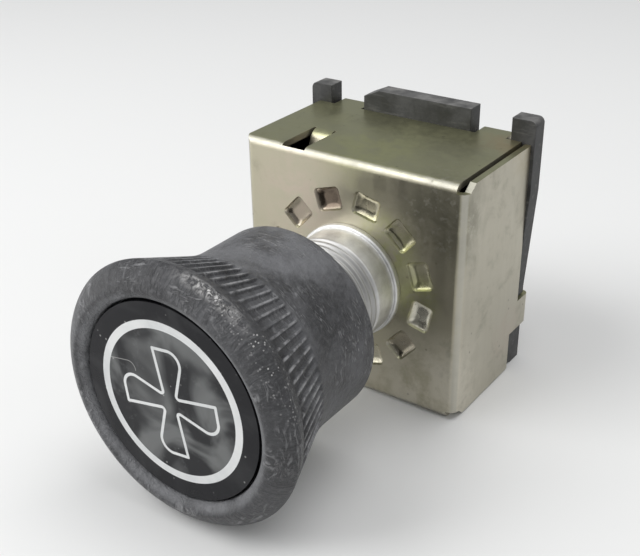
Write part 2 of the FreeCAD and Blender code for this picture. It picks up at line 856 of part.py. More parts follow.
def make_symbol_fan():
    """Outline of a four-blade fan, one closed stroke with equal quarters."""
    end_angle = math.atan2(fan_hub - fan_round_z, fan_hub - fan_round_x)
    span = math.hypot(fan_hub - fan_round_z, fan_hub - fan_round_x)
    tangent_angle = end_angle + math.acos(fan_round_r / span)
    mid_angle = (math.radians(90) + tangent_angle) / 2

    def turned_point(x, z, quarter):
        angle = -quarter * math.pi / 2
        turned_x = x * math.cos(angle) - z * math.sin(angle)
        turned_z = x * math.sin(angle) + z * math.cos(angle)
        return Vector(turned_x, disc_face_y, turned_z)

    def round_point(angle, quarter):
        x = fan_round_x + fan_round_r * math.cos(angle)
        z = fan_round_z + fan_round_r * math.sin(angle)
        return turned_point(x, z, quarter)

    start = round_point(tangent_angle, 3)
    before = start
    steps = []
    for quarter in range(4):
        corner = turned_point(-fan_hub, fan_hub, quarter)
        tip = turned_point(fan_tip_x, fan_tip_z, quarter)
        arc_start, arc_middle, arc_end = corner_arc(before, corner, tip, fan_hub_r)
        before = round_point(tangent_angle, quarter)
        steps.append(arc_start)
        steps.append((arc_middle, arc_end))
        steps.append(tip)
        steps.append(round_point(math.radians(90), quarter))
        steps.append((round_point(mid_angle, quarter), before))
    middle = wire_of(start, *steps)
    outer = middle.makeOffset2D(fan_stroke / 2)
    inner = middle.makeOffset2D(-fan_stroke / 2)
    depth = Vector(0, inlay_depth, 0)
    return Part.Face(outer).extrude(depth).cut(Part.Face(inner).extrude(depth))


def make_symbol_disc(inlays):
    disc = cylinder_y(disc_r, disc_face_y, recess_floor_y)
    return disc.cut(Part.makeCompound(inlays))


os.makedirs("parts", exist_ok=True)
save(make_housing(), "housing")
save(make_bushing(), "bushing")
save(make_board(), "terminal_board")
save(Part.makeCompound([make_rivet(x, z) for x, z in contact_places.values()]), "contact_rivets")
save(make_terminal(contact_places["feed"], feed_foot_reach, 1), "terminal_feed")
save(make_terminal(contact_places["low"], foot_reach, 1), "terminal_low")
save(make_terminal(contact_places["medium"], foot_reach, -1), "terminal_medium")
save(make_terminal(contact_places["high"], foot_reach, -1), "terminal_high")
save(make_shaft(), "shaft")
save(make_thrust_washer(), "thrust_washer")
save(make_retaining_clip(), "retaining_clip")
save(make_rotor(), "rotor")
save(make_detent_spring(), "detent_spring")
save(make_contact_spider(), "contact_spider")
save(make_contact_spring(), "contact_spring")
save(make_knob_core(), "knob_core")
save(make_knob_clip(), "knob_clip")
save(make_knob_grip(), "knob_grip")
symbol_ring = make_symbol_ring()
symbol_fan = make_symbol_fan()
save(symbol_ring, "symbol_ring")
save(symbol_fan, "symbol_fan")
save(make_symbol_disc([symbol_ring, symbol_fan]), "symbol_disc")
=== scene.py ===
import json
import math

import bmesh
import bpy
from mathutils import Matrix, Vector

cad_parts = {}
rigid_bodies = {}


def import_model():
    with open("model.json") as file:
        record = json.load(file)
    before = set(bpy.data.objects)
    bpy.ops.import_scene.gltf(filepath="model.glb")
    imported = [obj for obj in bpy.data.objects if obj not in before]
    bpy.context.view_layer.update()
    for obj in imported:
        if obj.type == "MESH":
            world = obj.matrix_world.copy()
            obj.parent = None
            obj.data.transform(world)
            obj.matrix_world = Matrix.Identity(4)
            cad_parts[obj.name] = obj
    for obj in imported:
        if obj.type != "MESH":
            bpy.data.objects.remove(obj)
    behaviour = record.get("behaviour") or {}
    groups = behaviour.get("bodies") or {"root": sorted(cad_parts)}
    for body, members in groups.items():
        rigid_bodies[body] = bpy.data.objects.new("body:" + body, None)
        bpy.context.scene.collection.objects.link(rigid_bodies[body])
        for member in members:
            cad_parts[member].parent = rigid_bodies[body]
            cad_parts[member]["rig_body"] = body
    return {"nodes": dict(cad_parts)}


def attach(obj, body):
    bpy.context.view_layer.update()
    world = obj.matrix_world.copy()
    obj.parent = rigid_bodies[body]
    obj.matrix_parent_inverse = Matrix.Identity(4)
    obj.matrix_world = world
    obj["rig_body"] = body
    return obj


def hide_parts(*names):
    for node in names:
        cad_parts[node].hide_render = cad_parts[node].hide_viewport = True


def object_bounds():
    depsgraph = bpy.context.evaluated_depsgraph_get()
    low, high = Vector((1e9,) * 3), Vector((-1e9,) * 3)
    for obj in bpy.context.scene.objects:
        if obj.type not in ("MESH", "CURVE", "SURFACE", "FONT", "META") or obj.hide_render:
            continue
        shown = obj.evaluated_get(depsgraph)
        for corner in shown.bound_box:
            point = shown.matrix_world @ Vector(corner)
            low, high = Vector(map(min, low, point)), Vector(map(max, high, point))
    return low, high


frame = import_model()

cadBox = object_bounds()
mm = 0.001  # every size below is in millimetres, the scene is in metres
print("frame loaded:", len(frame["nodes"]), "nodes")


# node helpers
def addNode(tree, kind, values=None, **settings):
    node = tree.nodes.new(kind)
    for key, value in settings.items():
        setattr(node, key, value)
    for key, value in (values or {}).items():
        if isinstance(value, bpy.types.NodeSocket):
            tree.links.new(value, node.inputs[key])
        else:
            node.inputs[key].default_value = value
    return node


def mathNode(tree, operation, first, second=0.0):
    return addNode(tree, "ShaderNodeMath", {0: first, 1: second}, operation=operation).outputs[0]


def smoothRange(tree, value, low, high, toLow=0.0, toHigh=1.0):
    values = {"Value": value, "From Min": low, "From Max": high, "To Min": toLow, "To Max": toHigh}
    node = addNode(tree, "ShaderNodeMapRange", values, interpolation_type="SMOOTHSTEP")
    return node.outputs["Result"]


def newMaterial(name):
    material = bpy.data.materials.new(name)
    material.use_nodes = True
    tree = material.node_tree
    shader = tree.nodes["Principled BSDF"]
    place = tree.nodes.new("ShaderNodeTexCoord").outputs["Object"]
    return material, tree, shader, place


def stretched(tree, place, scale):
    return addNode(tree, "ShaderNodeMapping", {"Vector": place, "Scale": scale}).outputs["Vector"]


def noiseAt(tree, place, scale, detail=4.0, roughness=0.55, distortion=0.0):
    values = {"Vector": place, "Scale": scale, "Detail": detail, "Roughness": roughness,
              "Distortion": distortion}
    return addNode(tree, "ShaderNodeTexNoise", values).outputs["Fac"]


def cellsAt(tree, place, scale, feature="F1"):
    values = {"Vector": place, "Scale": scale}
    return addNode(tree, "ShaderNodeTexVoronoi", values, feature=feature).outputs["Distance"]


def rampOf(tree, value, stops):
    node = addNode(tree, "ShaderNodeValToRGB", {"Fac": value})
    ramp = node.color_ramp
    while len(ramp.elements) < len(stops):
        ramp.elements.new(0.5)
    for element, (position, colour) in zip(ramp.elements, stops):
        element.position = position
        element.color = (*colour, 1.0)
    return node.outputs["Color"]


def mixColour(tree, amount, first, second):
    node = addNode(tree, "ShaderNodeMix", data_type="RGBA")
    for socket, value in ((node.inputs[0], amount), (node.inputs[6], first), (node.inputs[7], second)):
        if isinstance(value, bpy.types.NodeSocket):
            tree.links.new(value, socket)
        elif isinstance(value, tuple):
            socket.default_value = (*value, 1.0)
        else:
            socket.default_value = value
    return node.outputs[2]


def bumpOn(tree, shader, height, strength, distance):
    values = {"Height": height, "Strength": strength, "Distance": distance}
    node = addNode(tree, "ShaderNodeBump", values)
    tree.links.new(node.outputs["Normal"], shader.inputs["Normal"])


def splitVector(tree, vector):
    return addNode(tree, "ShaderNodeSeparateXYZ", {"Vector": vector}).outputs


def facing(tree, axis):
    normal = tree.nodes.new("ShaderNodeNewGeometry").outputs["Normal"]
    return splitVector(tree, normal)[axis]


def product(tree, *factors):
    result = factors[0]
    for factor in factors[1:]:
        result = mathNode(tree, "MULTIPLY", result, factor)
    return result


def spotAt(tree, place, centre, size, core=0.25):
    # one at the centre of a soft ball, zero outside it
    middle = tuple(value * mm for value in centre)
    away = addNode(tree, "ShaderNodeVectorMath", {0: place, 1: middle}, operation="DISTANCE")
    return smoothRange(tree, away.outputs["Value"], size * mm, size * core * mm)


def bandAround(tree, value, middle, width, core=0.3):
    # one near the middle value, zero further than the width from it
    away = mathNode(tree, "ABSOLUTE", mathNode(tree, "SUBTRACT", value, middle))
    return smoothRange(tree, away, width, core * width)


def lengthOf(tree, first, second):
    flat = addNode(tree, "ShaderNodeCombineXYZ", {"X": first, "Y": second}).outputs[0]
    return addNode(tree, "ShaderNodeVectorMath", {0: flat}, operation="LENGTH").outputs["Value"]


def onBends(tree):
    # one where a surface faces between two axes, zero on flats square to an axis
    normal = tree.nodes.new("ShaderNodeNewGeometry").outputs["Normal"]
    positive = addNode(tree, "ShaderNodeVectorMath", {0: normal}, operation="ABSOLUTE").outputs[0]
    sides = splitVector(tree, positive)
    flattest = mathNode(tree, "MAXIMUM", mathNode(tree, "MAXIMUM", sides[0], sides[1]), sides[2])
    return smoothRange(tree, flattest, 0.99, 0.86)


# mesh helpers
def roundedPath(corners):
    # corners are (radius, y, fillet, steps); a fillet of zero keeps the corner
    path = []
    count = len(corners)
    for index, (radius, y, fillet, steps) in enumerate(corners):
        here = Vector((radius, y))
        if fillet <= 0:
            path.append(here)
            continue
        back = (Vector(corners[index - 1][:2]) - here).normalized()
        ahead = (Vector(corners[(index + 1) % count][:2]) - here).normalized()
        half = back.angle(ahead) / 2
        reach = fillet / math.tan(half)
        centre = here + (back + ahead).normalized() * (fillet / math.sin(half))
        start = here + back * reach - centre
        turn = (here + ahead * reach - centre).angle_signed(start)
        for step in range(steps + 1):
            path.append(centre + Matrix.Rotation(turn * step / steps, 2) @ start)
    return path


def arcBetween(start, end, radius, steps):
    # points strictly between two ends of an arc that bulges away from the axis and to the front
    start, end = Vector(start), Vector(end)
    chord = end - start
    rise = radius - math.sqrt(radius ** 2 - (chord.length / 2) ** 2)
    outward = Vector((-chord.y, chord.x)).normalized()
    centre = (start + end) / 2 + outward * (rise - radius)
    spread = (start - centre).angle_signed(end - centre)
    turns = [-spread * step / steps for step in range(1, steps)]
    return [centre + Matrix.Rotation(turn, 2) @ (start - centre) for turn in turns]


def finerPath(path, longest, closed=True):
    finer = []
    last = len(path) if closed else len(path) - 1
    for index in range(last):
        here, ahead = path[index], path[(index + 1) % len(path)]
        parts = max(1, math.ceil((ahead - here).length / longest))
        finer += [here.lerp(ahead, part / parts) for part in range(parts)]
    if not closed:
        finer.append(path[-1])
    return finer


def latheMesh(name, path, segments):
    # closed section turned about the Y axis
    shell = bmesh.new()
    rings = []
    for step in range(segments):
        angle = 2 * math.pi * step / segments
        across, up = math.cos(angle), math.sin(angle)
        ring = [shell.verts.new((p.x * mm * across, p.y * mm, p.x * mm * up)) for p in path]
        rings.append(ring)
    for step in range(segments):
        ring, following = rings[step], rings[(step + 1) % segments]
        for index in range(len(path)):
            ahead = (index + 1) % len(path)
            shell.faces.new((ring[index], ring[ahead], following[ahead], following[index]))
    bmesh.ops.recalc_face_normals(shell, faces=shell.faces)
    mesh = bpy.data.meshes.new(name)
    shell.to_mesh(mesh)
    shell.free()
    return mesh


def linkPiece(name, mesh):
    piece = bpy.data.objects.new(name, mesh)
    bpy.context.scene.collection.objects.link(piece)
    return piece


def smoothByAngle(mesh, degrees):
    mesh.shade_smooth()
    mesh.set_sharp_from_angle(angle=math.radians(degrees))


def settle(piece, modifier):
    # keeps a modifier's result, so that the piece is a plain mesh again
    graph = bpy.context.evaluated_depsgraph_get()
    piece.data = bpy.data.meshes.new_from_object(piece.evaluated_get(graph))
    piece.modifiers.remove(modifier)


def settleNodes(piece, tree, values):
    modifier = piece.modifiers.new(tree.name, "NODES")
    modifier.node_group = tree
    for item in tree.interface.items_tree:
        if item.in_out == "INPUT" and item.name in values:
            modifier[item.identifier] = values[item.name]
    settle(piece, modifier)


def newShapeTree(name, inputs):
    tree = bpy.data.node_groups.new(name, "GeometryNodeTree")
    tree.interface.new_socket("Geometry", in_out="INPUT", socket_type="NodeSocketGeometry")
    for label, kind in inputs.items():
        tree.interface.new_socket(label, in_out="INPUT", socket_type=kind)
    tree.interface.new_socket("Geometry", in_out="OUTPUT", socket_type="NodeSocketGeometry")
    return tree, tree.nodes.new("NodeGroupInput").outputs


def radialShift(tree, given, x, z, shift):
    # moves points along their radius, then realizes and gives the material
    radial = addNode(tree, "ShaderNodeCombineXYZ", {"X": x, "Z": z}).outputs[0]
    unit = addNode(tree, "ShaderNodeVectorMath", {0: radial}, operation="NORMALIZE").outputs[0]
    offset = addNode(tree, "ShaderNodeVectorMath", {0: unit, "Scale": shift}, operation="SCALE").outputs[0]
    moved = addNode(tree, "GeometryNodeSetPosition", {"Geometry": given["Geometry"], "Offset": offset})
    real = addNode(tree, "GeometryNodeRealizeInstances", {"Geometry": moved.outputs[0]})
    values = {"Geometry": real.outputs[0], "Material": given["Material"]}
    dressed = addNode(tree, "GeometryNodeSetMaterial", values)
    addNode(tree, "NodeGroupOutput", {"Geometry": dressed.outputs[0]})


def pointPlace(tree):
    return splitVector(tree, tree.nodes.new("GeometryNodeInputPosition").outputs[0])


def finishPiece(piece, node):
    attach(piece, frame["nodes"][node]["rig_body"])
    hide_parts(node)


edges = {"merge": 1e-6, "flatWithin": 0.5, "bevelOver": 32, "steps": 2, "smoothUnder": 35}


def dressedCopy(node, pieceName, material, bevel):
    # merged copy of a solid with broken edges
    mesh = frame["nodes"][node].data.copy()
    mesh.name = pieceName
    shell = bmesh.new()
    shell.from_mesh(mesh)
    bmesh.ops.remove_doubles(shell, verts=shell.verts, dist=edges["merge"])
    flat = math.radians(edges["flatWithin"])
    bmesh.ops.dissolve_limit(shell, angle_limit=flat, verts=shell.verts, edges=shell.edges)
    shell.to_mesh(mesh)
    shell.free()
    mesh.materials.clear()
    mesh.materials.append(material)
    piece = linkPiece(pieceName, mesh)
    if bevel > 0:
        broken = piece.modifiers.new("brokenEdges", "BEVEL")
        broken.width = bevel * mm
        broken.segments = edges["steps"]
        broken.limit_method = "ANGLE"
        broken.angle_limit = math.radians(edges["bevelOver"])
        broken.use_clamp_overlap = True
        settle(piece, broken)
    smoothByAngle(piece.data, edges["smoothUnder"])
    even = piece.modifiers.new("evenFlats", "WEIGHTED_NORMAL")
    even.keep_sharp = True
    settle(piece, even)
    finishPiece(piece, node)


# soft black grip
gripLook = {
    "deep": (0.020, 0.020, 0.022),
    "worn": (0.092, 0.093, 0.099),
    "rubbedAndLit": (0.185, 0.187, 0.195),
    "scuffed": (0.36, 0.36, 0.368),
    "peeled": (0.62, 0.61, 0.60),
    "dust": (0.62, 0.61, 0.60),
    "grainScale": 1150.0, "fineScale": 2600.0, "broadScale": 170.0, "swirlScale": 1050.0,
    "patchScale": 700.0, "ribWearScale": 420.0, "speckScale": 2700.0, "bumpHeight": 0.0003,
    "wrinkleScale": (1500.0, 900.0, 1.0), "scratchScale": (520.0, 1700.0, 1.0),
    "headFrom": 3.0, "headFull": 6.5, "farX": 14.0, "nearX": -4.0, "farShadeWear": 0.35,
    "wormAngle": 67.0, "wormSpread": 23.0, "wormY": -31.0, "wormWidth": 0.85,
    "beltAngle": 40.0, "beltSpread": 38.0, "beltY": -30.9, "beltWidth": 1.5,
    "lipR": 11.95, "lipWidth": 0.95, "lipFrom": -31.0, "lipFull": -31.8,
    "ribFadeRear": 0.6, "ribFadeFront": 0.8,
    "neckScuffs": [((0.2, -15.7, 11.6), 3.6), ((8.6, -21.5, 8.6), 2.2), ((11.2, -15.0, 3.2), 4.0)],
}


def gripRubber():
    material, tree, shader, place = newMaterial("gripRubber")
    look = gripLook
    x, y, z = splitVector(tree, place)
    angle = mathNode(tree, "ARCTAN2", z, x)
    radius = lengthOf(tree, x, z)
    # unrolled coordinates keep scuffs running round the knob
    along = mathNode(tree, "MULTIPLY", angle, grip["neckR"] * mm)
    unrolled = addNode(tree, "ShaderNodeCombineXYZ", {"X": along, "Y": y}).outputs[0]
    lean = mathNode(tree, "SUBTRACT", y, radius)
    slant = addNode(tree, "ShaderNodeCombineXYZ", {"X": along, "Y": lean}).outputs[0]
    coneY = gripPath()[1]
    onHead = smoothRange(tree, y, (coneY - look["headFrom"]) * mm, (coneY - look["headFull"]) * mm)
    onNeck = smoothRange(tree, onHead, 1.0, 0.0)
    grain = cellsAt(tree, place, look["grainScale"], feature="SMOOTH_F1")
    fine = noiseAt(tree, place, look["fineScale"], detail=5.0, roughness=0.7)
    broad = noiseAt(tree, place, look["broadScale"], detail=6.0, roughness=0.65)
    # painted shade: on the +X side of the head, away from the key lamp, wear is held back so that side
    # stays darker
    wearHeldInPaintedShade = smoothRange(tree, x, look["farX"] * mm, look["nearX"] * mm, look["farShadeWear"], 1.0)
    wearHeldInPaintedShade = mathNode(tree, "MAXIMUM", wearHeldInPaintedShade, onNeck)
    wear = product(tree, wearHeldInPaintedShade, smoothRange(tree, broad, 0.34, 0.7))
    tone = mixColour(tree, wear, look["deep"], look["worn"])
    tone = mixColour(tree, smoothRange(tree, fine, 0.48, 0.7, 0.0, 0.25), tone, look["rubbedAndLit"])
    # painted light: the upper side of the neck, facing the lamps above, is made lighter, broken up by noise
    paintedTopLight = product(tree, smoothRange(tree, facing(tree, "Z"), 0.45, 0.95), onNeck,
                      smoothRange(tree, broad, 0.36, 0.6, 0.1, 0.5))
    tone = mixColour(tree, paintedTopLight, tone, look["rubbedAndLit"])
    wrinkle = noiseAt(tree, stretched(tree, slant, look["wrinkleScale"]), 1.0, 4.0, 0.62, 1.8)
    wrinkleTone = product(tree, wearHeldInPaintedShade, smoothRange(tree, wrinkle, 0.52, 0.7),
                          smoothRange(tree, onHead, 0.0, 1.0, 0.12, 0.45))
    tone = mixColour(tree, wrinkleTone, tone, look["rubbedAndLit"])
    # short scuffs, thick where the neck is handled
    scratch = noiseAt(tree, stretched(tree, unrolled, look["scratchScale"]), 1.0, 3.0, 0.6, 2.2)
    scuffWhere = smoothRange(tree, noiseAt(tree, place, 210.0, detail=3.0), 0.46, 0.62, 0.05, 0.6)
    for centre, size in look["neckScuffs"]:
        scuffWhere = mathNode(tree, "MAXIMUM", scuffWhere, spotAt(tree, place, centre, size))
    scuffs = product(tree, smoothRange(tree, scratch, 0.5, 0.66), scuffWhere)
    tone = mixColour(tree, product(tree, scuffs, 0.75), tone, look["scuffed"])
    # peeled patch on the crown, crossed by cracks
    spread = math.radians(look["wormSpread"])
    worm = product(tree, bandAround(tree, angle, math.radians(look["wormAngle"]), spread, 0.1),
                   bandAround(tree, y, look["wormY"] * mm, look["wormWidth"] * mm, 0.1))
    swirl = noiseAt(tree, place, look["swirlScale"], detail=2.0, roughness=0.5, distortion=1.7)
    crack = bandAround(tree, swirl, 0.5, 0.06, 0.2)
    patches = noiseAt(tree, place, look["patchScale"], detail=4.0, roughness=0.65)
    flakes = product(tree, worm, smoothRange(tree, patches, 0.36, 0.5), smoothRange(tree, swirl, 0.38, 0.5))
    tone = mixColour(tree, product(tree, flakes, 0.85), tone, look["peeled"])
    tone = mixColour(tree, product(tree, worm, crack, 0.85), tone, look["deep"])
    # worn crests of the ribs
    wave = mathNode(tree, "COSINE", mathNode(tree, "MULTIPLY", angle, float(grip["ribs"])))
    crest = smoothRange(tree, wave, 0.5, 0.9)
    ribRear = coneY + grip["ribLead"]
    ribEnd = coneY - grip["ribRun"]
    inRibs = product(tree, smoothRange(tree, y, ribRear * mm, (ribRear - look["ribFadeRear"]) * mm),
                     smoothRange(tree, y, ribEnd * mm, (ribEnd + look["ribFadeFront"]) * mm))
    uneven = noiseAt(tree, place, look["ribWearScale"], detail=5.0, roughness=0.7)
    ribWear = product(tree, crest, inRibs, smoothRange(tree, uneven, 0.44, 0.6, 0.08, 1.0))
    tone = mixColour(tree, product(tree, ribWear, 0.8), tone, look["scuffed"])
    # painted highlight: a lighter band on the lip round the recess, standing in for its lit edge
    lipHighlight = product(tree, bandAround(tree, radius, look["lipR"] * mm, look["lipWidth"] * mm),
                  smoothRange(tree, y, look["lipFrom"] * mm, look["lipFull"] * mm),
                  smoothRange(tree, broad, 0.3, 0.55, 0.3, 1.0))
    tone = mixColour(tree, product(tree, lipHighlight, 0.7), tone, look["rubbedAndLit"])
    # dust along the widest line
    spread = math.radians(look["beltSpread"])
    belt = product(tree, bandAround(tree, y, look["beltY"] * mm, look["beltWidth"] * mm, 0.2),
                   bandAround(tree, angle, math.radians(look["beltAngle"]), spread))
    specks = smoothRange(tree, cellsAt(tree, place, look["speckScale"]), 0.34, 0.2)
    where = smoothRange(tree, noiseAt(tree, place, 480.0, detail=3.0), 0.46, 0.54)
    tone = mixColour(tree, product(tree, specks, belt, where, 0.85), tone, look["dust"])
    tree.links.new(tone, shader.inputs["Base Color"])
    tree.links.new(smoothRange(tree, broad, 0.3, 0.7, 0.36, 0.52), shader.inputs["Roughness"])
    height = mathNode(tree, "ADD", product(tree, grain, 0.7), product(tree, fine, 0.5))
    wrinkleRise = smoothRange(tree, onHead, 0.0, 1.0, 0.35, 1.1)
    height = mathNode(tree, "ADD", height, product(tree, wrinkle, wrinkleRise))
    raised = mathNode(tree, "ADD", product(tree, flakes, 0.8), product(tree, scuffs, 0.9))
    raised = mathNode(tree, "SUBTRACT", raised, product(tree, worm, crack, 0.8))
    height = mathNode(tree, "ADD", height, raised)
    bumpOn(tree, shader, height, 0.8, look["bumpHeight"])
    return material


grip = {
    "rearY": -11.4, "frontY": -32.785, "neckR": 11.65, "neckEndY": -17.8, "flareDeg": 20.3,
    "flareArc": 5.4, "rimR": 15.35, "crownR": 4.3, "peakR": 12.9, "lipR": 11.75, "lipDrop": 0.6,
    "recessY": -30.6, "recessR": 11.48, "flangeR": 9.0, "flangeY": -29.1, "hubR": 6.0,
    "skirtFloorY": -19.1, "skirtR": 9.6,
    "skirtEdge": 0.4, "neckEdge": 0.5, "rimEdge": 0.5, "peakEdge": 0.5, "lipEdge": 0.9, "floorEdge": 0.8,
    "ribs": 78, "ribDepth": 0.34, "ribLead": 0.7, "ribRun": 6.3, "ribEase": 0.6, "underNeck": 0.5,
    "segments": 780, "longest": 0.9, "smoothUnder": 60,
}


def gripPath():
    g = grip
    flare = math.radians(g["flareDeg"])
    bend = g["flareArc"] / math.sin(flare)
    knee = g["neckEndY"] - bend * math.tan(flare / 2)
    coneY = g["neckEndY"] - g["flareArc"]
    coneR = g["neckR"] + bend * (1 - math.cos(flare))
    rimY = coneY - (g["rimR"] - coneR) / math.tan(flare)
    crown = arcBetween((g["rimR"], rimY), (g["peakR"], g["frontY"]), g["crownR"], 9)
    corners = [
        (g["skirtR"], g["rearY"], g["skirtEdge"], 4),
        (g["neckR"], g["rearY"], g["neckEdge"], 5),
        (g["neckR"], knee, bend, 18),
        (g["rimR"], rimY, g["rimEdge"], 5),
    ]
    corners += [(p.x, p.y, 0, 0) for p in crown]
    corners += [
        (g["peakR"], g["frontY"], g["peakEdge"], 6),
        (g["lipR"], g["frontY"] + g["lipDrop"], g["lipEdge"], 8),
        (g["recessR"], g["recessY"], 0, 0),
        (g["flangeR"], g["recessY"], 0, 0),
        (g["flangeR"], g["flangeY"], 0, 0),
        (g["hubR"], g["flangeY"], 0, 0),
        (g["hubR"], g["skirtFloorY"], 0, 0),
        (g["skirtR"], g["skirtFloorY"], g["floorEdge"], 4),
    ]
    return finerPath(roundedPath(corners), g["longest"]), coneY


def ribTree():
    inputs = {"Rib Count": "NodeSocketFloat", "Rib Depth": "NodeSocketFloat",
              "Rib Rear": "NodeSocketFloat", "Rib Front": "NodeSocketFloat",
              "Rib Ease": "NodeSocketFloat", "Material": "NodeSocketMaterial"}
    tree, given = newShapeTree("gripRibs", inputs)
    x, y, z = pointPlace(tree)
    angle = mathNode(tree, "ARCTAN2", z, x)
    wave = mathNode(tree, "COSINE", mathNode(tree, "MULTIPLY", angle, given["Rib Count"]))
    groove = smoothRange(tree, wave, 0.85, 0.15)
    rearIn = mathNode(tree, "SUBTRACT", given["Rib Rear"], given["Rib Ease"])
    rear = smoothRange(tree, y, given["Rib Rear"], rearIn)
    frontIn = mathNode(tree, "ADD", given["Rib Front"], given["Rib Ease"])
    front = smoothRange(tree, y, given["Rib Front"], frontIn)
    wallR = (grip["neckR"] - grip["underNeck"]) * mm
    outside = mathNode(tree, "GREATER_THAN", lengthOf(tree, x, z), wallR)
    shift = product(tree, groove, rear, front, outside, given["Rib Depth"], -1.0)
    radialShift(tree, given, x, z, shift)
    return tree


def buildGrip():
    path, coneY = gripPath()
    piece = linkPiece("gripMesh", latheMesh("gripMesh", path, grip["segments"]))
    values = {"Rib Count": float(grip["ribs"]), "Rib Depth": grip["ribDepth"] * mm,
              "Rib Rear": (coneY + grip["ribLead"]) * mm, "Rib Front": (coneY - grip["ribRun"]) * mm,
              "Rib Ease": grip["ribEase"] * mm, "Material": gripRubber()}
    settleNodes(piece, ribTree(), values)
    smoothByAngle(piece.data, grip["smoothUnder"])
    finishPiece(piece, "knob_grip")
    print("grip:", len(piece.data.polygons), "faces")


# turned bushing with a real thread
bushing = {
    "boreR": 4.05, "endY": -9.1, "threadR": 7.0, "chamfer": 0.6, "collarR": 7.4, "collarY": 0.9,
    "spigotR": 6.4, "innerY": 1.7, "swageR": 7.3, "rearY": 2.4,
    "rootEdge": 0.08, "collarEdge": 0.3, "collarRearEdge": 0.12, "swageEdge": 0.2,
    "pitch": 1.0, "depth": 0.34, "plainY": -2.9, "skin": 0.1, "segments": 160, "longest": 0.09,
    "smoothUnder": 40, "soiled": (0.33, 0.325, 0.315), "soilRun": 0.8,
    "dull": (0.60, 0.595, 0.58), "clean": (0.86, 0.86, 0.85),
    "ringScale": (60.0, 7000.0, 60.0), "blotchScale": 380.0, "bumpHeight": 0.00004,
}


def turnedAluminium():
    material, tree, shader, place = newMaterial("turnedAluminium")
    shader.inputs["Metallic"].default_value = 1.0
    rings = noiseAt(tree, stretched(tree, place, bushing["ringScale"]), 1.0, detail=3.0)
    blotch = noiseAt(tree, place, bushing["blotchScale"], detail=6.0, roughness=0.65)
    tone = rampOf(tree, blotch, [(0.3, bushing["dull"]), (0.62, bushing["clean"])])
    # the thread is duller than the plain band behind it
    y = splitVector(tree, place)[1]
    soilY = bushing["plainY"] - bushing["soilRun"]
    onThread = smoothRange(tree, y, bushing["plainY"] * mm, soilY * mm, 0.0, 0.75)
    tone = mixColour(tree, onThread, tone, bushing["soiled"])
    tree.links.new(tone, shader.inputs["Base Color"])
    rough = smoothRange(tree, rings, 0.3, 0.7, 0.42, 0.58)
    tree.links.new(rough, shader.inputs["Roughness"])
    bumpOn(tree, shader, rings, 0.25, bushing["bumpHeight"])
    return material


def threadTree():
    inputs = {"Pitch": "NodeSocketFloat", "Depth": "NodeSocketFloat", "Thread Rear": "NodeSocketFloat",
              "Thread Front": "NodeSocketFloat", "Wall Radius": "NodeSocketFloat",
              "Material": "NodeSocketMaterial"}
    tree, given = newShapeTree("bushingThread", inputs)
    x, y, z = pointPlace(tree)
    turn = mathNode(tree, "DIVIDE", mathNode(tree, "ARCTAN2", z, x), 2 * math.pi)
    climb = mathNode(tree, "ADD", mathNode(tree, "DIVIDE", y, given["Pitch"]), turn)
    saw = mathNode(tree, "PINGPONG", climb, 0.5)
    valley = smoothRange(tree, saw, 0.08, 0.46)
    rearIn = mathNode(tree, "SUBTRACT", given["Thread Rear"], given["Pitch"])
    rear = smoothRange(tree, y, given["Thread Rear"], rearIn)
    front = mathNode(tree, "GREATER_THAN", y, given["Thread Front"])
    outside = mathNode(tree, "GREATER_THAN", lengthOf(tree, x, z), given["Wall Radius"])
    shift = product(tree, valley, rear, front, outside, given["Depth"], -1.0)
    radialShift(tree, given, x, z, shift)
    return tree


def buildBushing():
    b = bushing
    corners = [
        (b["boreR"], b["endY"], 0, 0),
        (b["threadR"] - b["chamfer"], b["endY"], 0, 0),
        (b["threadR"], b["endY"] + b["chamfer"], 0, 0),
        (b["threadR"], 0.0, b["rootEdge"], 3),
        (b["collarR"], 0.0, b["collarEdge"], 5),
        (b["collarR"], b["collarY"], b["collarRearEdge"], 3),
        (b["spigotR"], b["collarY"], 0, 0),
        (b["spigotR"], b["innerY"], 0, 0),
        (b["swageR"], b["innerY"], 0, 0),
        (b["swageR"], b["rearY"], b["swageEdge"], 3),
        (b["boreR"], b["rearY"], 0, 0),
    ]
    path = roundedPath(corners)
    outer = finerPath(path[2:4], b["longest"], closed=False)
    path = path[:2] + outer + path[4:]
    piece = linkPiece("bushingMesh", latheMesh("bushingMesh", path, b["segments"]))
    values = {"Pitch": b["pitch"] * mm, "Depth": b["depth"] * mm, "Thread Rear": b["plainY"] * mm,
              "Thread Front": (b["endY"] + b["chamfer"] / 2) * mm,
              "Wall Radius": (b["threadR"] - b["skin"]) * mm, "Material": turnedAluminium()}
    settleNodes(piece, threadTree(), values)
    smoothByAngle(piece.data, b["smoothUnder"])
    finishPiece(piece, "bushing")
    print("bushing:", len(piece.data.polygons), "faces")


